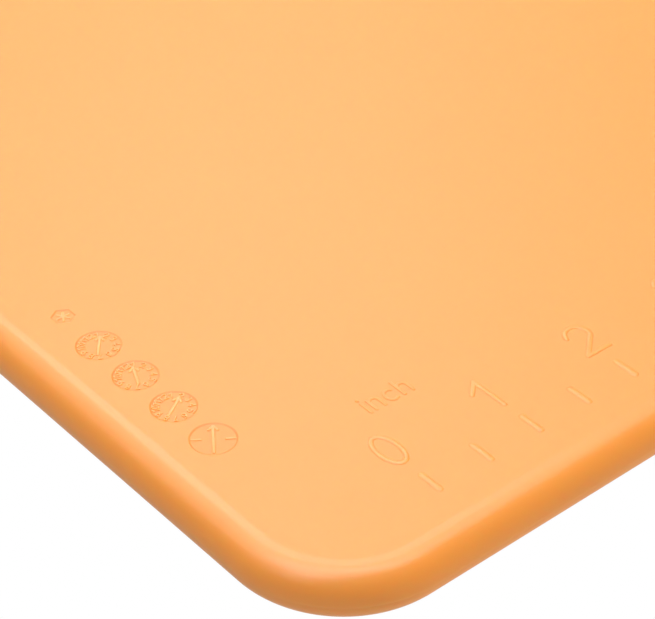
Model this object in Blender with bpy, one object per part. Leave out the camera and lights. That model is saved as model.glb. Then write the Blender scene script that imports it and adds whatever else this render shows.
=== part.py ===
"""Plastic work board with a moulded inch scale, mould dials and four non-slip feet.

Frame: metres, +Z up. The origin is under the middle of the board, on the surface that the feet
stand on. X runs along the edge that carries the scale, from its zero towards its high end, and Y
runs from that edge into the board.
"""

import math

import bmesh
import bpy
from mathutils import Vector

INCH = 0.0254

# Board
BOARD_LENGTH = 15 * INCH
BOARD_WIDTH = 11 * INCH
BOARD_THICKNESS = 0.0105
EDGE_RADIUS = BOARD_THICKNESS / 2  # the edge is fully round
CORNER_RADIUS = 0.025
CORNER_STEPS = 12
EDGE_STEPS = 12

# Feet, pressed in round sockets in the underside
FOOT_RADIUS = 0.010
FOOT_DEPTH = 0.0022  # the part of a foot inside its socket
FOOT_PROUD = 0.0012  # the part of a foot below the underside
FOOT_BEVEL = 0.0004
FOOT_INSET = 0.032
FOOT_STEPS = 32
SOCKET_GAP = 0.0003

# Raised shapes on the face
RELIEF_HEIGHT = 0.00015
RELIEF_ROOT = 0.0008  # how far below the face a raised shape starts
SCALE_INCHES = 12
SCALE_START = 1.5 * INCH  # from the left end to the zero tick
TICK_PITCH = INCH / 2
TICK_GAP = 0.013  # from the scale edge to a tick
TICK_LENGTH = 0.006
TICK_WIDTH = 0.0012
NUMERAL_BASE = 0.0232  # from the scale edge
NUMERAL_HEIGHT = 0.0086
NUMERAL_STROKE = 0.0009
DIGIT_SPACE = 0.24  # between two digits, as a share of their height
UNIT_BASE = 0.0376
UNIT_HEIGHT = 0.0043
UNIT_STROKE = 0.0006
UNIT_OFFSET = 0.0100  # from the zero tick to the middle of the word
LETTER_SPACE = 0.32  # between two letters, as a share of their height

# Mould dials: shallow pockets with a raised arrow in each
DIAL_COLUMN = 0.0155  # from the left end
DIAL_START = 0.0507  # from the scale edge to the nearest dial
DIAL_PITCH = 0.01215
DIAL_RADIUS = 0.00465
DIAL_STEPS = 28
DIAL_DEPTH = 0.00015
# Each arrow's angle in degrees from +X and its length, nearest dial first
ARROWS = ((54, 0.0074), (32, 0.0056), (66, 0.0052), (50, 0.0056))
ARROW_HEAD = 0.0013
ARROW_STROKE = 0.00055
ARROW_SPREAD = math.radians(38)
STAMP_RADIUS = 0.0026  # the small hexagonal stamp after the last dial
STAMP_STROKE = 0.0005
STAR_LINES = 3

# How strokes are drawn
ARC_STEP = math.radians(24)
END_STEPS = 4
CORNER_TURN = math.radians(40)  # a stroke that turns more than this at a point is split there

# Places worked out from the sizes above
UNDERSIDE = FOOT_PROUD
FACE = UNDERSIDE + BOARD_THICKNESS
LEFT = -BOARD_LENGTH / 2
FRONT = -BOARD_WIDTH / 2
ZERO_X = LEFT + SCALE_START
RELIEF_BASE = FACE - RELIEF_ROOT
FOOT_X = BOARD_LENGTH / 2 - FOOT_INSET
FOOT_Y = BOARD_WIDTH / 2 - FOOT_INSET
FOOT_PLACES = {
    "foot_front_left": (-FOOT_X, -FOOT_Y),
    "foot_front_right": (FOOT_X, -FOOT_Y),
    "foot_back_left": (-FOOT_X, FOOT_Y),
    "foot_back_right": (FOOT_X, FOOT_Y),
}

ORANGE = (1.0, 0.51, 0.18, 1.0)
FOOT_GREY = (0.16, 0.16, 0.17, 1.0)
SHARP_ANGLE = math.radians(30)


def arc(centre, radii, start, end):
    """Points of an elliptical arc between two angles in degrees."""
    first = math.radians(start)
    sweep = math.radians(end) - first
    steps = max(3, round(abs(sweep) / ARC_STEP))
    return [
        (
            centre[0] + radii[0] * math.cos(first + sweep * step / steps),
            centre[1] + radii[1] * math.sin(first + sweep * step / steps),
        )
        for step in range(steps + 1)
    ]


# Characters on a box one unit high: each has its width and its strokes, as lists of points.
SHOULDER = [(0.0, 0.42)] + arc((0.25, 0.44), (0.25, 0.26), 150, 0) + [(0.5, 0.0)]
GLYPHS = {
    "0": (0.52, [arc((0.26, 0.5), (0.26, 0.5), 90, 450)]),
    "1": (0.52, [[(-0.08, 0.68), (0.26, 1.0), (0.26, 0.0)]]),
    "2": (0.68, [arc((0.36, 0.70), (0.30, 0.30), 170, -35) + [(0.0, 0.0), (0.68, 0.0)]]),
    "3": (
        0.56,
        [
            arc((0.27, 0.755), (0.24, 0.245), 160, -80),
            arc((0.27, 0.265), (0.28, 0.265), 80, -160),
        ],
    ),
    "4": (0.62, [[(0.62, 0.27), (0.0, 0.27), (0.45, 1.0)], [(0.45, 1.0), (0.45, 0.0)]]),
    "5": (
        0.56,
        [[(0.52, 1.0), (0.10, 1.0), (0.04, 0.55)] + arc((0.27, 0.32), (0.28, 0.32), 132, -150)],
    ),
    "6": (
        0.56,
        [arc((0.28, 0.30), (0.28, 0.30), 0, 360), arc((0.70, 0.30), (0.70, 0.70), 180, 115)],
    ),
    "7": (0.56, [[(0.0, 1.0), (0.56, 1.0), (0.18, 0.0)]]),
    "8": (
        0.56,
        [arc((0.28, 0.76), (0.23, 0.24), 0, 360), arc((0.28, 0.26), (0.28, 0.26), 0, 360)],
    ),
    "9": (
        0.56,
        [arc((0.28, 0.70), (0.28, 0.30), 0, 360), arc((-0.14, 0.70), (0.70, 0.70), 0, -65)],
    ),
    "i": (0.0, [[(0.0, 0.0), (0.0, 0.70)], [(0.0, 0.97), (0.0, 1.0)]]),
    "n": (0.50, [[(0.0, 0.0), (0.0, 0.70)], SHOULDER]),
    "c": (0.50, [arc((0.30, 0.35), (0.30, 0.35), 50, 310)]),
    "h": (0.50, [[(0.0, 0.0), (0.0, 1.0)], SHOULDER]),
}


def clear_scene():
    """Remove the objects that the scene starts with."""
    for obj in list(bpy.data.objects):
        bpy.data.objects.remove(obj, do_unlink=True)


def plastic(name, colour, roughness):
    """A plain Principled material."""
    material = bpy.data.materials.new(name)
    material.use_nodes = True
    shader = material.node_tree.nodes["Principled BSDF"]
    shader.inputs["Base Color"].default_value = colour
    shader.inputs["Roughness"].default_value = roughness
    shader.inputs["Metallic"].default_value = 0.0
    return material


def add_object(name, shape):
    """Link a new object made from a bmesh."""
    mesh = bpy.data.meshes.new(name)
    shape.to_mesh(mesh)
    shape.free()
    obj = bpy.data.objects.new(name, mesh)
    bpy.context.scene.collection.objects.link(obj)
    return obj


def add_ring_faces(shape, low, high):
    """Join two rings of vertices with a band of faces."""
    count = len(low)
    for i in range(count):
        j = (i + 1) % count
        shape.faces.new((low[i], low[j], high[j], high[i]))


def add_stack(shape, rings):
    """Add a closed body through a stack of rings with equal counts, lowest ring first."""
    stack = [[shape.verts.new(point) for point in ring] for ring in rings]
    for low, high in zip(stack, stack[1:]):
        add_ring_faces(shape, low, high)
    shape.faces.new(reversed(stack[0]))
    shape.faces.new(stack[-1])


def add_prism(shape, outline, low, high):
    """Add an upright prism over an anticlockwise outline."""
    add_stack(shape, [[(x, y, z) for x, y in outline] for z in (low, high)])


def circle(centre, radius, steps, start=0.0):
    """Points round a circle, anticlockwise, from a start angle in radians."""
    angles = [start + 2 * math.pi * step / steps for step in range(steps)]
    return [(centre[0] + radius * math.cos(a), centre[1] + radius * math.sin(a)) for a in angles]


def board_outline(corner_radius):
    """The board's outline, anticlockwise. Its corner centres stay put whatever the radius."""
    centre_x = BOARD_LENGTH / 2 - CORNER_RADIUS
    centre_y = BOARD_WIDTH / 2 - CORNER_RADIUS
    points = []
    for side_x, side_y, start in ((1, 1, 0), (-1, 1, 90), (-1, -1, 180), (1, -1, 270)):
        for step in range(CORNER_STEPS + 1):
            angle = math.radians(start + 90 * step / CORNER_STEPS)
            x = side_x * centre_x + corner_radius * math.cos(angle)
            y = side_y * centre_y + corner_radius * math.sin(angle)
            points.append((x, y))
    return points


def make_slab():
    """The board's body: a rounded rectangle with a fully round edge."""
    rings = []
    for step in range(EDGE_STEPS + 1):
        angle = math.radians(-90 + 180 * step / EDGE_STEPS)
        outline = board_outline(CORNER_RADIUS - EDGE_RADIUS * (1 - math.cos(angle)))
        height = UNDERSIDE + EDGE_RADIUS * (1 + math.sin(angle))
        rings.append([(x, y, height) for x, y in outline])
    shape = bmesh.new()
    add_stack(shape, rings)
    return add_object("board", shape)


def smooth_runs(stroke):
    """Split a stroke at its sharp corners, so that each run can be drawn with round ends."""
    runs = [[stroke[0]]]
    for before, here, after in zip(stroke, stroke[1:], stroke[2:]):
        runs[-1].append(here)
        turn = (Vector(here) - Vector(before)).angle(Vector(after) - Vector(here))
        if turn > CORNER_TURN:
            runs.append([here])
    runs[-1].append(stroke[-1])
    return runs


def moved_right(points, distance, closed):
    """Points moved sideways, to the right of the way that they run."""
    moved = []
    last = len(points) - 1
    for i, point in enumerate(points):
        here = Vector(point)
        before = Vector(points[i - 1]) if i > 0 or closed else None
        after = Vector(points[(i + 1) % len(points)]) if i < last or closed else None
        way_in = (here - (before or here)).normalized()
        way_out = ((after or here) - here).normalized()
        way = (way_in + way_out).normalized()
        stretch = 1 / way.dot(way_out if after else way_in)
        moved.append((here.x + way.y * distance * stretch, here.y - way.x * distance * stretch))
    return moved


def round_end(centre, way, radius):
    """Points round a stroke's end, anticlockwise, without its two corners."""
    first = math.atan2(way.y, way.x) - math.pi / 2
    angles = [first + math.pi * step / END_STEPS for step in range(1, END_STEPS)]
    return [(centre[0] + radius * math.cos(a), centre[1] + radius * math.sin(a)) for a in angles]


def add_line(shape, points, width, top):
    """Add a raised line with round ends."""
    half = width / 2
    outline = moved_right(points, half, closed=False)
    outline += round_end(points[-1], Vector(points[-1]) - Vector(points[-2]), half)
    outline += reversed(moved_right(points, -half, closed=False))
    outline += round_end(points[0], Vector(points[0]) - Vector(points[1]), half)
    add_prism(shape, outline, RELIEF_BASE, top)


def add_loop(shape, points, width, top):
    """Add a raised line that runs anticlockwise and meets itself."""
    outer = moved_right(points, width / 2, closed=True)
    inner = moved_right(points, -width / 2, closed=True)
    rings = [
        [shape.verts.new((x, y, z)) for x, y in ring]
        for ring, z in ((outer, RELIEF_BASE), (outer, top), (inner, top), (inner, RELIEF_BASE))
    ]
    for ring, following in zip(rings, rings[1:] + rings[:1]):
        add_ring_faces(shape, ring, following)


def add_stroke(shape, stroke, width, top):
    """Add a raised line along a stroke, in as many runs as its corners ask for."""
    if (Vector(stroke[0]) - Vector(stroke[-1])).length < width / 10:
        add_loop(shape, stroke[:-1], width, top)
        return
    for run in smooth_runs(stroke):
        add_line(shape, run, width, top)


def add_text(shape, text, middle_x, base_y, height, width, space):
    """Raise a word on the face, centred on a place along X."""
    whole = sum(GLYPHS[letter][0] for letter in text) + space * (len(text) - 1)
    x = middle_x - whole * height / 2
    for letter in text:
        letter_width, strokes = GLYPHS[letter]
        for stroke in strokes:
            points = [(x + px * height, base_y + py * height) for px, py in stroke]
            add_stroke(shape, points, width, FACE + RELIEF_HEIGHT)
        x += (letter_width + space) * height


def add_scale(shape):
    """Add the ticks, their numerals and the unit's name."""
    tick_low = FRONT + TICK_GAP + TICK_WIDTH / 2
    tick_high = FRONT + TICK_GAP + TICK_LENGTH - TICK_WIDTH / 2
    for number in range(2 * SCALE_INCHES + 1):
        x = ZERO_X + number * TICK_PITCH
        add_line(shape, [(x, tick_low), (x, tick_high)], TICK_WIDTH, FACE + RELIEF_HEIGHT)
    base = FRONT + NUMERAL_BASE
    for inch in range(SCALE_INCHES + 1):
        x = ZERO_X + inch * INCH
        add_text(shape, str(inch), x, base, NUMERAL_HEIGHT, NUMERAL_STROKE, DIGIT_SPACE)
    x = ZERO_X + UNIT_OFFSET
    add_text(shape, "inch", x, FRONT + UNIT_BASE, UNIT_HEIGHT, UNIT_STROKE, LETTER_SPACE)


def across(centre, angle, length):
    """The two ends of a line through a centre."""
    reach = Vector((math.cos(angle), math.sin(angle))) * length / 2
    return [tuple(Vector(centre) - reach), tuple(Vector(centre) + reach)]


def add_arrow(shape, centre, angle, length):
    """Add the raised arrow in a dial's pocket. Its top is level with the face."""
    shaft = across(centre, angle, length)
    tip = Vector(shaft[1])
    wings = [
        tuple(tip - Vector((math.cos(angle + side), math.sin(angle + side))) * ARROW_HEAD)
        for side in (-ARROW_SPREAD, ARROW_SPREAD)
    ]
    add_stroke(shape, shaft, ARROW_STROKE, FACE)
    add_stroke(shape, [wings[0], shaft[1], wings[1]], ARROW_STROKE, FACE)


def dial_place(number):
    """The centre of a dial, counted from the scale edge."""
    return (LEFT + DIAL_COLUMN, FRONT + DIAL_START + number * DIAL_PITCH)


def add_dials(pockets, raised):
    """Add the mould dials in their row, and the small stamp after them."""
    floor = FACE - DIAL_DEPTH
    above = FACE + DIAL_DEPTH
    for number, (degrees, length) in enumerate(ARROWS):
        centre = dial_place(number)
        add_prism(pockets, circle(centre, DIAL_RADIUS, DIAL_STEPS), floor, above)
        add_arrow(raised, centre, math.radians(degrees), length)
    centre = dial_place(len(ARROWS))
    add_prism(pockets, circle(centre, STAMP_RADIUS, 6, math.pi / 6), floor, above)
    for number in range(STAR_LINES):
        ends = across(centre, math.pi * number / STAR_LINES, STAMP_RADIUS)
        add_stroke(raised, ends, STAMP_STROKE, FACE)


def add_boolean(obj, operation, tool):
    """Join or cut an object with a tool, which is kept out of the model."""
    modifier = obj.modifiers.new(operation.lower(), "BOOLEAN")
    modifier.operation = operation
    modifier.solver = "EXACT"
    modifier.use_self = True
    modifier.object = tool
    tool.hide_render = True
    tool.display_type = "WIRE"


def shade(obj, material):
    """Give an object its material and smooth shading on its round faces."""
    obj.data.materials.append(material)
    obj.data.shade_smooth()
    obj.data.set_sharp_from_angle(angle=SHARP_ANGLE)


def make_board(material):
    """The board, with its sockets, dial pockets and raised marks."""
    board = make_slab()
    shade(board, material)
    cuts = bmesh.new()
    raised = bmesh.new()
    ceiling = UNDERSIDE + FOOT_DEPTH + SOCKET_GAP
    for place in FOOT_PLACES.values():
        add_prism(cuts, circle(place, FOOT_RADIUS + SOCKET_GAP, FOOT_STEPS), 0.0, ceiling)
    add_dials(cuts, raised)
    add_scale(raised)
    add_boolean(board, "DIFFERENCE", add_object("cuts", cuts))
    add_boolean(board, "UNION", add_object("raised_marks", raised))


def make_foot(name, place, material):
    """One soft foot: a disc with an eased lower edge."""
    levels = (
        (0.0, FOOT_RADIUS - FOOT_BEVEL),
        (FOOT_BEVEL, FOOT_RADIUS),
        (FOOT_PROUD + FOOT_DEPTH, FOOT_RADIUS),
    )
    shape = bmesh.new()
    rings = [[(x, y, z) for x, y in circle((0, 0), radius, FOOT_STEPS)] for z, radius in levels]
    add_stack(shape, rings)
    foot = add_object(name, shape)
    foot.location = (place[0], place[1], 0.0)
    shade(foot, material)


def main():
    """Build the whole board."""
    clear_scene()
    make_board(plastic("orange_plastic", ORANGE, 0.45))
    rubber = plastic("foot_rubber", FOOT_GREY, 0.8)
    for name, place in FOOT_PLACES.items():
        make_foot(name, place, rubber)


main()
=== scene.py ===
"""Looks of the moulded orange work board: its skin, its feet, the studio and the camera.

Metres, in the row frame: X along the scale edge, Y into the board, Z up from the floor.
"""

import math

import bmesh
import bpy
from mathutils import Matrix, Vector


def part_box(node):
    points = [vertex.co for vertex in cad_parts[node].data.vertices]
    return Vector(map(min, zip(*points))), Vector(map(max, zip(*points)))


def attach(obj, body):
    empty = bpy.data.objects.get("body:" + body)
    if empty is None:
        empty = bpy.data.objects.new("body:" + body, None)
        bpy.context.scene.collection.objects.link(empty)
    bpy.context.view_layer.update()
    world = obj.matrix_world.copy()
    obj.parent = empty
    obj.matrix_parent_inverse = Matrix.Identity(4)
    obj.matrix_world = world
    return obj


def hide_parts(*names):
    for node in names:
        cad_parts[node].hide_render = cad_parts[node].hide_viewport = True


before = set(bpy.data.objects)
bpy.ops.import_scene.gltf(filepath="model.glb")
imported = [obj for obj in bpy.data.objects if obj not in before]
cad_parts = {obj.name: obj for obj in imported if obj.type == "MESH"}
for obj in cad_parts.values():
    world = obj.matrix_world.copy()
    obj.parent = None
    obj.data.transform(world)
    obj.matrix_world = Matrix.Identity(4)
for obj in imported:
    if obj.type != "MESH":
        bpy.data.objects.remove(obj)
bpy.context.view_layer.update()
BOARD_LOW, BOARD_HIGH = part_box("board")
INCH = 0.0254
MM = 0.001

# The board's shape, as in the CAD
RELIEF = 0.15 * MM
FACE = BOARD_HIGH.z - RELIEF
UNDERSIDE = BOARD_LOW.z
LEFT = BOARD_LOW.x
FRONT = BOARD_LOW.y
EDGE_RADIUS = (FACE - UNDERSIDE) / 2
CORNER_RADIUS = 25 * MM
CORNER_STEPS = 48
EDGE_STEPS = 48
RIM_MARGIN = 1.4 * MM  # smooth band between the round edge and the grained face
RIM_WANDER = 1.0 * MM  # how far the grain's border wanders
RIM_FADE = 0.5 * MM
PARTING_STEP = 0.10 * MM

# The scale
SCALE_INCHES = 12
ZERO_X = LEFT + 1.5 * INCH
TICK_PITCH = INCH / 2
TICK_GAP = 13.0 * MM
TICK_LENGTH = 6.0 * MM
TICK_WIDTH = 1.2 * MM
NUMERAL_BASE = 23.2 * MM
NUMERAL_HEIGHT = 8.6 * MM
NUMERAL_STROKE = 0.9 * MM
DIGIT_SPACE = 0.24
UNIT_BASE = 37.6 * MM
UNIT_HEIGHT = 4.3 * MM
UNIT_STROKE = 0.6 * MM
UNIT_OFFSET = 10.0 * MM
LETTER_SPACE = 0.32

# The mould dials
DIAL_COLUMN = 15.5 * MM
DIAL_START = 50.7 * MM
DIAL_PITCH = 12.15 * MM
DIAL_RADIUS = 4.65 * MM
DIAL_STEPS = 96
DIAL_DEPTH = 0.15 * MM
DIAL_WALL = 0.35 * MM  # how far a pocket's sloped wall runs
ARROWS = ((54, 7.4), (32, 5.6), (66, 5.2), (50, 5.6))  # degrees and millimetres
ARROW_HEAD = 1.3 * MM
ARROW_STROKE = 0.55 * MM
ARROW_SPREAD = math.radians(38)
NUMBERED_DIALS = (1, 2, 3)
DIAL_NUMBERS = 12
DIAL_NUMBER_RADIUS = 3.45 * MM
DIAL_NUMBER_HEIGHT = 1.35 * MM
DIAL_NUMBER_STROKE = 0.24 * MM
DIAL_NUMBER_SPACE = 0.1
DASH_RADIUS = 3.2 * MM
DASH_LENGTH = 1.7 * MM
DASH_STROKE = 0.4 * MM
STAMP_RADIUS = 2.6 * MM
STAMP_STROKE = 0.5 * MM
STAMP_SIDES = 6
STAR_LINES = 3

# How a raised stroke is moulded: height as a share of the relief, and half width as a share of the
# stroke's own, from its root inside the board to its top
STROKE_PROFILE = ((-2.0, 1.28), (0.0, 1.25), (0.45, 1.06), (0.80, 0.84), (1.0, 0.52))
ARC_STEP = math.radians(9)
END_STEPS = 8
CORNER_TURN = math.radians(40)
SHARP_ANGLE = math.radians(20)

# The feet
FEET = [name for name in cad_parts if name.startswith("foot_")]
FOOT_STEPS = 96
FOOT_RIBS = 4
FOOT_RIB_STEPS = 8
FOOT_RIB_DEPTH = 0.35 * MM
FOOT_HUB = 0.6 * MM  # radius of the sole's plain middle
FOOT_BEVEL = 0.5 * MM
FOOT_BEVEL_EASE = 0.3  # where the bevel's middle ring sits, as a share of the bevel
FOOT_SHARP_ANGLE = math.radians(50)
SOCKET_GAP = 0.3 * MM

# The plastic
ORANGE = (0.655, 0.241, 0.038)
ORANGE_PALE = (0.665, 0.248, 0.041)
SKIN_TINT = (1.0, 1.0, 1.0)
SCALE_MARK_PAINTED_HIGHLIGHT = (1.0, 1.04, 1.12)  # painted highlight: raised marks are painted a little paler, for the light that they catch
# painted highlight: the dials' raised marks are painted much paler, for the light that they catch
DIAL_MARK_PAINTED_HIGHLIGHT = (1.05, 1.18, 1.7)
# painted shade: the pockets' floors are painted a little darker, for their weaker sheen
POCKET_FLOOR_PAINTED_SHADE = (0.99, 0.965, 0.90)
# painted shade: the pockets' sloped walls are painted darker and deeper orange, for the shade in them
POCKET_WALL_PAINTED_SHADE = (0.97, 0.89, 0.78)
FACE_ROUGHNESS = 0.45
MARK_ROUGHNESS = 0.36
POCKET_ROUGHNESS = 0.45
RIM_ROUGHNESS = 0.34
GLOSS_SPREAD = 0.04  # how far the roughness varies either way
CLOUD_SCALE = 18.0  # this and the other texture scales are in features per metre
GRAIN_SCALE = 2600.0
GRAIN_DEPTH = 0.012 * MM
RIM_GRAIN = 0.15  # share of the grain that is left on the smooth rim
WANDER_SCALE = 900.0
WAVE_SCALE = 120.0
WAVE_DEPTH = 0.02 * MM
WAVE_STRENGTH = 0.3
SCATTER_SHARE = 0.5
SCATTER_SCALE = 5 * MM
SCATTER_RADII = (1.0, 0.30, 0.10)
PLASTIC_IOR = 1.49
# The board's plastics, in the order of its material slots
PLASTICS = (
    ("orange_skin", SKIN_TINT, FACE_ROUGHNESS),
    ("orange_scale_marks_painted_highlight", SCALE_MARK_PAINTED_HIGHLIGHT, MARK_ROUGHNESS),
    ("orange_dial_marks_painted_highlight", DIAL_MARK_PAINTED_HIGHLIGHT, MARK_ROUGHNESS),
    ("orange_pocket_floors_painted_shade", POCKET_FLOOR_PAINTED_SHADE, POCKET_ROUGHNESS),
    ("orange_pocket_walls_painted_shade", POCKET_WALL_PAINTED_SHADE, POCKET_ROUGHNESS),
)
SCALE_MARK, DIAL_MARK, POCKET, WALL = range(1, len(PLASTICS))
LEVEL = 0.95  # a face whose normal is this upright is a pocket's floor

# The feet's rubber
RUBBER_DARK = (0.018, 0.018, 0.020, 1.0)
RUBBER_PALE = (0.040, 0.040, 0.043, 1.0)
RUBBER_ROUGHNESS = (0.65, 0.85)
RUBBER_CLOUD_SCALE = 300.0
RUBBER_GRAIN_SCALE = 3000.0
RUBBER_GRAIN_DEPTH = 0.03 * MM
RUBBER_GRAIN_STRENGTH = 0.6


def arc(centre, radii, start, end):
    """Points of an elliptical arc between two angles in degrees."""
    first = math.radians(start)
    sweep = math.radians(end) - first
    steps = max(3, round(abs(sweep) / ARC_STEP))
    return [
        (
            centre[0] + radii[0] * math.cos(first + sweep * step / steps),
            centre[1] + radii[1] * math.sin(first + sweep * step / steps),
        )
        for step in range(steps + 1)
    ]


# Characters on a box one unit high: each has its width and its strokes, as lists of points
SHOULDER = [(0.0, 0.42)] + arc((0.25, 0.44), (0.25, 0.26), 150, 0) + [(0.5, 0.0)]
GLYPHS = {
    "0": (0.52, [arc((0.26, 0.5), (0.26, 0.5), 90, 450)]),
    "1": (0.52, [[(-0.08, 0.68), (0.26, 1.0), (0.26, 0.0)]]),
    "2": (0.68, [arc((0.36, 0.70), (0.30, 0.30), 170, -35) + [(0.0, 0.0), (0.68, 0.0)]]),
    "3": (
        0.56,
        [
            arc((0.27, 0.755), (0.24, 0.245), 160, -80),
            arc((0.27, 0.265), (0.28, 0.265), 80, -160),
        ],
    ),
    "4": (0.62, [[(0.62, 0.27), (0.0, 0.27), (0.45, 1.0)], [(0.45, 1.0), (0.45, 0.0)]]),
    "5": (
        0.56,
        [[(0.52, 1.0), (0.10, 1.0), (0.04, 0.55)] + arc((0.27, 0.32), (0.28, 0.32), 132, -150)],
    ),
    "6": (
        0.56,
        [arc((0.28, 0.30), (0.28, 0.30), 0, 360), arc((0.70, 0.30), (0.70, 0.70), 180, 115)],
    ),
    "7": (0.56, [[(0.0, 1.0), (0.56, 1.0), (0.18, 0.0)]]),
    "8": (
        0.56,
        [arc((0.28, 0.76), (0.23, 0.24), 0, 360), arc((0.28, 0.26), (0.28, 0.26), 0, 360)],
    ),
    "9": (
        0.56,
        [arc((0.28, 0.70), (0.28, 0.30), 0, 360), arc((-0.14, 0.70), (0.70, 0.70), 0, -65)],
    ),
    "i": (0.0, [[(0.0, 0.0), (0.0, 0.70)], [(0.0, 0.97), (0.0, 1.0)]]),
    "n": (0.50, [[(0.0, 0.0), (0.0, 0.70)], SHOULDER]),
    "c": (0.50, [arc((0.30, 0.35), (0.30, 0.35), 50, 310)]),
    "h": (0.50, [[(0.0, 0.0), (0.0, 1.0)], SHOULDER]),
}


# ---------------------------------------------------------------- mesh helpers


def add_object(name, shape):
    """Link a new object made from a bmesh."""
    mesh = bpy.data.meshes.new(name)
    shape.to_mesh(mesh)
    shape.free()
    obj = bpy.data.objects.new(name, mesh)
    bpy.context.scene.collection.objects.link(obj)
    return obj


def add_ring_faces(shape, low, high):
    """Join two rings of vertices with a band of faces."""
    count = len(low)
    for i in range(count):
        j = (i + 1) % count
        shape.faces.new((low[i], low[j], high[j], high[i]))


def add_stack(shape, rings):
    """Add a closed body through a stack of rings with equal counts."""
    stack = [[shape.verts.new(point) for point in ring] for ring in rings]
    for low, high in zip(stack, stack[1:]):
        add_ring_faces(shape, low, high)
    shape.faces.new(reversed(stack[0]))
    shape.faces.new(stack[-1])


def circle(centre, radius, steps, start=0.0):
    """Points round a circle, anticlockwise, from a start angle in radians."""
    angles = [start + 2 * math.pi * step / steps for step in range(steps)]
    return [(centre[0] + radius * math.cos(a), centre[1] + radius * math.sin(a)) for a in angles]


def lifted(outline, height):
    """A flat outline put at a height."""
    return [(x, y, height) for x, y in outline]


def smooth_runs(stroke):
    """Split a stroke at its sharp corners, so that each run can be drawn with round ends."""
    runs = [[stroke[0]]]
    for before, here, after in zip(stroke, stroke[1:], stroke[2:]):
        runs[-1].append(here)
        turn = (Vector(here) - Vector(before)).angle(Vector(after) - Vector(here))
        if turn > CORNER_TURN:
            runs.append([here])
    runs[-1].append(stroke[-1])
    return runs


def moved_right(points, distance, closed):
    """Points moved sideways, to the right of the way that they run."""
    moved = []
    last = len(points) - 1
    for i, point in enumerate(points):
        here = Vector(point)
        before = Vector(points[i - 1]) if i > 0 or closed else None
        after = Vector(points[(i + 1) % len(points)]) if i < last or closed else None
        way_in = (here - (before or here)).normalized()
        way_out = ((after or here) - here).normalized()
        way = (way_in + way_out).normalized()
        stretch = 1 / way.dot(way_out if after else way_in)
        moved.append((here.x + way.y * distance * stretch, here.y - way.x * distance * stretch))
    return moved


def round_end(centre, way, radius):
    """Points round a stroke's end, anticlockwise, without its two corners."""
    first = math.atan2(way.y, way.x) - math.pi / 2
    angles = [first + math.pi * step / END_STEPS for step in range(1, END_STEPS)]
    return [(centre[0] + radius * math.cos(a), centre[1] + radius * math.sin(a)) for a in angles]


def line_outline(points, half):
    """The outline of a line with round ends."""
    outline = moved_right(points, half, closed=False)
    outline += round_end(points[-1], Vector(points[-1]) - Vector(points[-2]), half)
    outline += reversed(moved_right(points, -half, closed=False))
    outline += round_end(points[0], Vector(points[0]) - Vector(points[1]), half)
    return outline


def add_line(shape, points, width, base, height):
    """Add a raised line with round ends and eased edges."""
    half = width / 2
    add_stack(
        shape,
        [lifted(line_outline(points, half * wide), base + height * up) for up, wide in STROKE_PROFILE],
    )


def add_loop(shape, points, width, base, height):
    """Add a raised line that runs anticlockwise and meets itself, with eased edges."""
    rings = []
    for side, profile in ((1, STROKE_PROFILE), (-1, reversed(STROKE_PROFILE))):
        for up, wide in profile:
            outline = moved_right(points, side * wide * width / 2, closed=True)
            rings.append([shape.verts.new(point) for point in lifted(outline, base + height * up)])
    for ring, following in zip(rings, rings[1:] + rings[:1]):
        add_ring_faces(shape, ring, following)


def add_stroke(shape, stroke, width, base, height):
    """Add a raised line along a stroke, in as many runs as its corners ask for."""
    if (Vector(stroke[0]) - Vector(stroke[-1])).length < width / 10:
        add_loop(shape, stroke[:-1], width, base, height)
        return
    for run in smooth_runs(stroke):
        add_line(shape, run, width, base, height)


def add_text(shape, text, middle, turn, size, width, space, base, height):
    """Raise a word, centred along X on a place at its foot, and turned about that place."""
    whole = sum(GLYPHS[letter][0] for letter in text) + space * (len(text) - 1)
    x = -whole / 2
    across_way = Vector((math.cos(turn), math.sin(turn)))
    up_way = Vector((-across_way.y, across_way.x))
    for letter in text:
        letter_width, strokes = GLYPHS[letter]
        for stroke in strokes:
            points = [
                tuple(Vector(middle) + (across_way * (x + px) + up_way * py) * size)
                for px, py in stroke
            ]
            add_stroke(shape, points, width, base, height)
        x += letter_width + space


def across(centre, angle, length):
    """The two ends of a line through a centre."""
    reach = Vector((math.cos(angle), math.sin(angle))) * length / 2
    return [tuple(Vector(centre) - reach), tuple(Vector(centre) + reach)]


def apply_boolean(obj, operation, tool):
    """Join or cut an object with a tool, and throw the tool away."""
    modifier = obj.modifiers.new(operation.lower(), "BOOLEAN")
    modifier.operation = operation
    modifier.solver = "EXACT"
    modifier.use_self = True
    modifier.object = tool
    graph = bpy.context.evaluated_depsgraph_get()
    result = bpy.data.meshes.new_from_object(obj.evaluated_get(graph))
    obj.modifiers.clear()
    obj.data = result
    bpy.data.objects.remove(tool, do_unlink=True)


# ---------------------------------------------------------------- board


def board_outline(corner_radius):
    """The board's outline, anticlockwise. Its corner centres stay put whatever the radius."""
    centre_x = BOARD_HIGH.x - CORNER_RADIUS
    centre_y = BOARD_HIGH.y - CORNER_RADIUS
    points = []
    for side_x, side_y, start in ((1, 1, 0), (-1, 1, 90), (-1, -1, 180), (1, -1, 270)):
        for step in range(CORNER_STEPS + 1):
            angle = math.radians(start + 90 * step / CORNER_STEPS)
            x = side_x * centre_x + corner_radius * math.cos(angle)
            y = side_y * centre_y + corner_radius * math.sin(angle)
            points.append((x, y))
    return points


def edge_ring(angle, inset):
    """One ring of the round edge, at an angle up from mid-height."""
    outline = board_outline(CORNER_RADIUS - EDGE_RADIUS * (1 - math.cos(angle)) - inset)
    return lifted(outline, UNDERSIDE + EDGE_RADIUS * (1 + math.sin(angle)))


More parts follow.
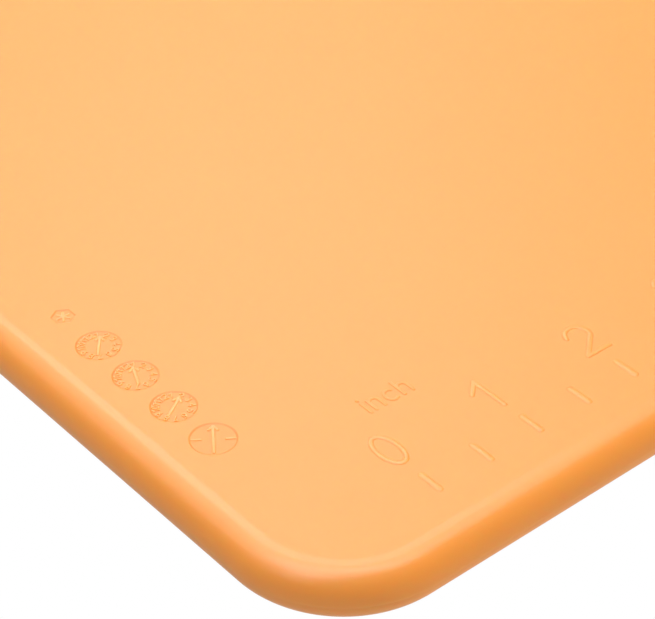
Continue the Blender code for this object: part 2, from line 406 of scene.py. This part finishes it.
def make_slab():
    """The board's body. Below the mould's joint, its edge sits a hair inside the upper half."""
    half = EDGE_STEPS // 2
    rings = []
    for step in range(half + 1):
        angle = math.radians(90 * (step / half - 1))
        rings.append(edge_ring(angle, PARTING_STEP * math.cos(angle)))
    for step in range(half + 1):
        rings.append(edge_ring(math.radians(90 * step / half), 0.0))
    shape = bmesh.new()
    add_stack(shape, rings)
    return add_object("moulded_board", shape)


def add_scale(shape):
    """Add the ticks, their numerals and the unit's name."""
    tick_low = FRONT + TICK_GAP + TICK_WIDTH / 2
    tick_high = FRONT + TICK_GAP + TICK_LENGTH - TICK_WIDTH / 2
    for number in range(2 * SCALE_INCHES + 1):
        x = ZERO_X + number * TICK_PITCH
        add_line(shape, [(x, tick_low), (x, tick_high)], TICK_WIDTH, FACE, RELIEF)
    for inch in range(SCALE_INCHES + 1):
        foot = (ZERO_X + inch * INCH, FRONT + NUMERAL_BASE)
        add_text(shape, str(inch), foot, 0, NUMERAL_HEIGHT, NUMERAL_STROKE, DIGIT_SPACE, FACE, RELIEF)
    foot = (ZERO_X + UNIT_OFFSET, FRONT + UNIT_BASE)
    add_text(shape, "inch", foot, 0, UNIT_HEIGHT, UNIT_STROKE, LETTER_SPACE, FACE, RELIEF)


def add_dial_numbers(shape, centre, floor):
    """Add the numbers round a dial, with their feet towards its middle."""
    for number in range(1, DIAL_NUMBERS + 1):
        angle = math.pi / 2 - 2 * math.pi * number / DIAL_NUMBERS
        way = Vector((math.cos(angle), math.sin(angle)))
        foot = Vector(centre) + way * (DIAL_NUMBER_RADIUS - DIAL_NUMBER_HEIGHT / 2)
        add_text(
            shape,
            str(number),
            foot,
            angle - math.pi / 2,
            DIAL_NUMBER_HEIGHT,
            DIAL_NUMBER_STROKE,
            DIAL_NUMBER_SPACE,
            floor,
            DIAL_DEPTH,
        )


def add_arrow(shape, centre, angle, length, floor):
    """Add the raised arrow in a dial's pocket."""
    shaft = across(centre, angle, length)
    tip = Vector(shaft[1])
    wings = [
        tuple(tip - Vector((math.cos(angle + side), math.sin(angle + side))) * ARROW_HEAD)
        for side in (-ARROW_SPREAD, ARROW_SPREAD)
    ]
    add_stroke(shape, shaft, ARROW_STROKE, floor, DIAL_DEPTH)
    add_stroke(shape, [wings[0], shaft[1], wings[1]], ARROW_STROKE, floor, DIAL_DEPTH)


def dial_place(number):
    """The centre of a dial, counted from the scale edge."""
    return (LEFT + DIAL_COLUMN, FRONT + DIAL_START + number * DIAL_PITCH)


def add_pocket(shape, centre, radius, sides):
    """Add the cutter of a shallow round or many-sided pocket with a sloped wall."""
    start = math.pi / sides
    mouth = circle(centre, radius, sides, start)
    rings = [
        lifted(circle(centre, radius - DIAL_WALL, sides, start), FACE - DIAL_DEPTH),
        lifted(mouth, FACE),
        lifted(mouth, FACE + DIAL_DEPTH),
    ]
    add_stack(shape, rings)


def add_dials(pockets, raised):
    """Add the mould dials in their row, and the small stamp after them."""
    floor = FACE - DIAL_DEPTH
    for number, (degrees, length) in enumerate(ARROWS):
        centre = dial_place(number)
        angle = math.radians(degrees)
        add_pocket(pockets, centre, DIAL_RADIUS, DIAL_STEPS)
        add_arrow(raised, centre, angle, length * MM, floor)
        if number in NUMBERED_DIALS:
            add_dial_numbers(raised, centre, floor)
        else:
            for side in (angle - math.pi / 2, angle + math.pi / 2):
                middle = Vector(centre) + Vector((math.cos(side), math.sin(side))) * DASH_RADIUS
                add_stroke(raised, across(middle, side, DASH_LENGTH), DASH_STROKE, floor, DIAL_DEPTH)
    centre = dial_place(len(ARROWS))
    add_pocket(pockets, centre, STAMP_RADIUS, STAMP_SIDES)
    for number in range(STAR_LINES):
        ends = across(centre, math.pi * number / STAR_LINES, STAMP_RADIUS)
        add_stroke(raised, ends, STAMP_STROKE, floor, DIAL_DEPTH)


def add_sockets(shape):
    """Add the cutters of the feet's sockets."""
    for name in FEET:
        low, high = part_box(name)
        centre = ((low.x + high.x) / 2, (low.y + high.y) / 2)
        radius = (high.x - low.x) / 2 + SOCKET_GAP
        outline = circle(centre, radius, FOOT_STEPS)
        add_stack(shape, [lifted(outline, low.z), lifted(outline, high.z + SOCKET_GAP)])


def make_board():
    """The board's skin, in place of the CAD board."""
    board = make_slab()
    for name, tint, roughness in PLASTICS:
        board.data.materials.append(orange_plastic(name, tint, roughness))
    cuts = bmesh.new()
    raised = bmesh.new()
    add_dials(cuts, raised)
    # The pockets' floors and walls take the plastics with painted shade
    for face in cuts.faces:
        face.normal_update()
        face.material_index = POCKET if abs(face.normal.z) > LEVEL else WALL
    for face in raised.faces:
        face.material_index = DIAL_MARK
    dial_faces = len(raised.faces)
    add_sockets(cuts)
    add_scale(raised)
    # The scale's marks take the plastic with a painted highlight
    for face in list(raised.faces)[dial_faces:]:
        face.material_index = SCALE_MARK
    apply_boolean(board, "DIFFERENCE", add_object("cuts", cuts))
    apply_boolean(board, "UNION", add_object("raised", raised))
    board.data.shade_smooth()
    board.data.set_sharp_from_angle(angle=SHARP_ANGLE)
    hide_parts("board")
    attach(board, "root")
    return board


# ---------------------------------------------------------------- feet


def foot_profile(radius, height):
    """Radius and height of each ring of a foot, from the middle of its sole to its top."""
    steps = FOOT_RIBS * FOOT_RIB_STEPS
    reach = radius - FOOT_BEVEL - FOOT_HUB
    sole = []
    for step in range(steps + 1):
        share = step / steps
        dip = FOOT_RIB_DEPTH * (0.5 - 0.5 * math.cos(2 * math.pi * FOOT_RIBS * share))
        sole.append((FOOT_HUB + reach * share, dip))
    ease = FOOT_BEVEL * FOOT_BEVEL_EASE
    return sole + [(radius - ease, ease), (radius, FOOT_BEVEL), (radius, height)]


def make_foot(name, rubber):
    """A turned soft foot with ribs on its sole, in place of its CAD disc."""
    low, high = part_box(name)
    profile = foot_profile((high.x - low.x) / 2, high.z - low.z)
    shape = bmesh.new()
    add_stack(shape, [lifted(circle((0, 0), radius, FOOT_STEPS), z) for radius, z in profile])
    foot = add_object(name.replace("foot", "foot_pad"), shape)
    foot.location = ((low.x + high.x) / 2, (low.y + high.y) / 2, low.z)
    foot.data.materials.append(rubber)
    foot.data.shade_smooth()
    foot.data.set_sharp_from_angle(angle=FOOT_SHARP_ANGLE)
    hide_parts(name)
    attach(foot, "root")


# ---------------------------------------------------------------- materials


def new_material(name):
    """A material, its node tree and its Principled shader."""
    material = bpy.data.materials.new(name)
    material.use_nodes = True
    tree = material.node_tree
    return material, tree, tree.nodes["Principled BSDF"]


def add_noise(tree, scale, detail, roughness=0.5):
    """A noise texture in the object's own metres."""
    place = tree.nodes.new("ShaderNodeTexCoord")
    noise = tree.nodes.new("ShaderNodeTexNoise")
    noise.inputs["Scale"].default_value = scale
    noise.inputs["Detail"].default_value = detail
    noise.inputs["Roughness"].default_value = roughness
    tree.links.new(place.outputs["Object"], noise.inputs["Vector"])
    return noise.outputs["Fac"]


def add_range(tree, value, low, high):
    """Map a 0 to 1 value to a range."""
    node = tree.nodes.new("ShaderNodeMapRange")
    node.inputs["To Min"].default_value = low
    node.inputs["To Max"].default_value = high
    tree.links.new(value, node.inputs["Value"])
    return node.outputs["Result"]


def add_bump(tree, height, distance, strength, under=None):
    """A bump from a height value, on top of another bump if there is one."""
    bump = tree.nodes.new("ShaderNodeBump")
    bump.inputs["Distance"].default_value = distance
    bump.inputs["Strength"].default_value = strength
    tree.links.new(height, bump.inputs["Height"])
    if under is not None:
        tree.links.new(under, bump.inputs["Normal"])
    return bump.outputs["Normal"]


def add_math(tree, operation, first, second):
    """A maths node on a link and a number or another link."""
    node = tree.nodes.new("ShaderNodeMath")
    node.operation = operation
    tree.links.new(first, node.inputs[0])
    if isinstance(second, float):
        node.inputs[1].default_value = second
    else:
        tree.links.new(second, node.inputs[1])
    return node.outputs["Value"]


def add_vector_math(tree, operation, vector, other=(0.0, 0.0, 0.0)):
    """A vector maths node on a link and a fixed vector."""
    node = tree.nodes.new("ShaderNodeVectorMath")
    node.operation = operation
    tree.links.new(vector, node.inputs[0])
    node.inputs[1].default_value = other
    return node.outputs["Value" if operation == "LENGTH" else "Vector"]


def grain_share(tree):
    """1 on the flat face and 0 towards the round edge, with a wandering border between."""
    centre = (BOARD_HIGH.x - CORNER_RADIUS, BOARD_HIGH.y - CORNER_RADIUS, 0.0)
    place = tree.nodes.new("ShaderNodeTexCoord").outputs["Object"]
    flat = add_vector_math(tree, "MULTIPLY", place, (1.0, 1.0, 0.0))
    folded = add_vector_math(tree, "ABSOLUTE", flat)
    beyond = add_vector_math(tree, "SUBTRACT", folded, centre)
    outside = add_vector_math(tree, "MAXIMUM", beyond)
    distance = add_vector_math(tree, "LENGTH", outside)
    wander = add_math(tree, "MULTIPLY", add_noise(tree, WANDER_SCALE, 2.0), RIM_WANDER)
    border = CORNER_RADIUS - EDGE_RADIUS - RIM_MARGIN + RIM_WANDER / 2
    share = tree.nodes.new("ShaderNodeMapRange")
    share.inputs["From Min"].default_value = border - RIM_FADE / 2
    share.inputs["From Max"].default_value = border + RIM_FADE / 2
    share.inputs["To Min"].default_value = 1.0
    share.inputs["To Max"].default_value = 0.0
    tree.links.new(add_math(tree, "ADD", distance, wander), share.inputs["Value"])
    return share.outputs["Result"]


def tinted(colour, tint):
    """A colour times a tint, with its alpha kept."""
    return tuple(part * share for part, share in zip(colour, tint)) + (1.0,)


def orange_plastic(name, tint, face_roughness):
    """The board's slightly translucent plastic: grained on its faces and smooth round its edge, with
    its colour times a tint that paints highlight or shade.
    """
    material, tree, shader = new_material(name)
    cloud = add_noise(tree, CLOUD_SCALE, 3.0)
    mix = tree.nodes.new("ShaderNodeMix")
    mix.data_type = "RGBA"
    # The tint is plain on the skin, a painted highlight on the raised marks and painted shade in the
    # pockets
    mix.inputs["A"].default_value = tinted(ORANGE, tint)
    mix.inputs["B"].default_value = tinted(ORANGE_PALE, tint)
    tree.links.new(cloud, mix.inputs["Factor"])
    tree.links.new(mix.outputs["Result"], shader.inputs["Base Color"])
    grained = grain_share(tree)
    fine = add_noise(tree, GRAIN_SCALE, 2.0, 0.6)
    gloss = add_range(tree, grained, RIM_ROUGHNESS, face_roughness)
    smear = add_range(tree, fine, -GLOSS_SPREAD, GLOSS_SPREAD)
    tree.links.new(add_math(tree, "ADD", gloss, smear), shader.inputs["Roughness"])
    depth = add_math(tree, "MULTIPLY", fine, add_range(tree, grained, RIM_GRAIN, 1.0))
    waves = add_bump(tree, add_noise(tree, WAVE_SCALE, 2.0), WAVE_DEPTH, WAVE_STRENGTH)
    tree.links.new(add_bump(tree, depth, GRAIN_DEPTH, 1.0, under=waves), shader.inputs["Normal"])
    shader.inputs["Subsurface Weight"].default_value = SCATTER_SHARE
    shader.inputs["Subsurface Radius"].default_value = SCATTER_RADII
    shader.inputs["Subsurface Scale"].default_value = SCATTER_SCALE
    shader.inputs["IOR"].default_value = PLASTIC_IOR
    return material


def foot_rubber():
    """Matt dark grey soft rubber."""
    material, tree, shader = new_material("foot_rubber_soft")
    dust = add_noise(tree, RUBBER_CLOUD_SCALE, 4.0)
    mix = tree.nodes.new("ShaderNodeMix")
    mix.data_type = "RGBA"
    mix.inputs["A"].default_value = RUBBER_DARK
    mix.inputs["B"].default_value = RUBBER_PALE
    tree.links.new(dust, mix.inputs["Factor"])
    tree.links.new(mix.outputs["Result"], shader.inputs["Base Color"])
    fine = add_noise(tree, RUBBER_GRAIN_SCALE, 2.0)
    tree.links.new(add_range(tree, fine, *RUBBER_ROUGHNESS), shader.inputs["Roughness"])
    grain = add_bump(tree, fine, RUBBER_GRAIN_DEPTH, RUBBER_GRAIN_STRENGTH)
    tree.links.new(grain, shader.inputs["Normal"])
    return material


# ---------------------------------------------------------------- studio

WHITE = (1.0, 1.0, 1.0, 1.0)
BLACK = (0.0, 0.0, 0.0, 1.0)
FLOOR_SIZE = 6.0
FLOOR_GLOW = 1.0
WORLD_GLOW = 0.25
LOWER_GLOW = 0.55  # of the world below the horizon, seen only in reflections
LIGHT_DISTANCE = 2.0
LIGHT_SIZE = 0.75
LIGHT_POWER = 48.5
LOW_ELEVATION = 10  # degrees: softboxes this low leave no highlight on the round edge
LIGHT_AIM = (60 * MM, 70 * MM)  # from the board's front left corner
# Rows of equal softboxes: elevation and azimuths in degrees, and share of power of each softbox
SOFTBOX_ROWS = (
    (90, (0,), 0.10),
    (70, (0, 60, 120, 180), 0.18),
    (48, (20, 90, 130, 180), 0.08),
    (42, (55,), 0.23),
    (15, (90,), 0.14),
    (8, (270,), 0.20),
    (8, (330,), 0.42),
)


def make_floor():
    """A plain white floor that glows evenly, like a light table, so that no shadow shows on it."""
    bpy.ops.mesh.primitive_plane_add(size=FLOOR_SIZE, location=(0, 0, 0))
    floor = bpy.context.object
    floor.name = "studio_floor"
    material, tree, shader = new_material("studio_white")
    shader.inputs["Base Color"].default_value = BLACK
    shader.inputs["Specular IOR Level"].default_value = 0.0
    shader.inputs["Emission Color"].default_value = WHITE
    shader.inputs["Emission Strength"].default_value = FLOOR_GLOW
    floor.data.materials.append(material)
    floor.visible_glossy = False


def add_area_light(name, place, aim, size, power):
    """A square soft light that faces a point."""
    lamp = bpy.data.lights.new(name, "AREA")
    lamp.shape = "SQUARE"
    lamp.size = size
    lamp.energy = power
    light = bpy.data.objects.new(name, lamp)
    light.location = place
    light.rotation_euler = (Vector(aim) - Vector(place)).to_track_quat("-Z", "Y").to_euler()
    bpy.context.scene.collection.objects.link(light)
    return light


def add_softboxes():
    """The rows of softboxes round the board's front left corner, which they face."""
    aim = Vector((LEFT + LIGHT_AIM[0], FRONT + LIGHT_AIM[1], 0.0))
    for elevation, azimuths, share in SOFTBOX_ROWS:
        rise = math.radians(elevation)
        for azimuth in azimuths:
            turn = math.radians(azimuth)
            flat = math.cos(rise)
            way = Vector((flat * math.cos(turn), flat * math.sin(turn), math.sin(rise)))
            name = f"softbox_{azimuth}_{elevation}"
            place = aim + way * LIGHT_DISTANCE
            light = add_area_light(name, place, aim, LIGHT_SIZE, LIGHT_POWER * share)
            light.visible_glossy = elevation > LOW_ELEVATION


def make_world():
    """Even white light from all round, and brighter from below."""
    world = bpy.data.worlds.new("studio_world")
    world.use_nodes = True
    tree = world.node_tree
    background = tree.nodes["Background"]
    background.inputs["Color"].default_value = WHITE
    way = tree.nodes.new("ShaderNodeTexCoord")
    parts = tree.nodes.new("ShaderNodeSeparateXYZ")
    tree.links.new(way.outputs["Generated"], parts.inputs["Vector"])
    below = add_math(tree, "LESS_THAN", parts.outputs["Z"], 0.0)
    strength = add_range(tree, below, WORLD_GLOW, LOWER_GLOW)
    tree.links.new(strength, background.inputs["Strength"])
    bpy.context.scene.world = world


CAMERA_AZIMUTH = math.radians(49.84)  # of the way it looks, from +X towards +Y
CAMERA_ELEVATION = math.radians(37.29)
CAMERA_DISTANCE = 0.4314
CAMERA_LENS = 119.1
CAMERA_AIM = (57.0 * MM, 67.2 * MM)  # on the face, from the board's front left corner


def make_camera():
    """The camera, close over the board's front left corner."""
    way = Vector(
        (
            math.cos(CAMERA_ELEVATION) * math.cos(CAMERA_AZIMUTH),
            math.cos(CAMERA_ELEVATION) * math.sin(CAMERA_AZIMUTH),
            -math.sin(CAMERA_ELEVATION),
        )
    )
    data = bpy.data.cameras.new("studio_camera")
    data.lens = CAMERA_LENS
    data.clip_start = 0.01
    camera = bpy.data.objects.new("studio_camera", data)
    aim = Vector((LEFT + CAMERA_AIM[0], FRONT + CAMERA_AIM[1], FACE))
    camera.location = aim - way * CAMERA_DISTANCE
    camera.rotation_euler = way.to_track_quat("-Z", "Y").to_euler()
    bpy.context.scene.collection.objects.link(camera)
    bpy.context.scene.camera = camera


def main():
    """Build the pieces, the studio and the camera."""
    make_board()
    rubber = foot_rubber()
    for name in FEET:
        make_foot(name, rubber)
    make_floor()
    make_world()
    add_softboxes()
    make_camera()
    bpy.context.scene.view_settings.view_transform = "Standard"


main()
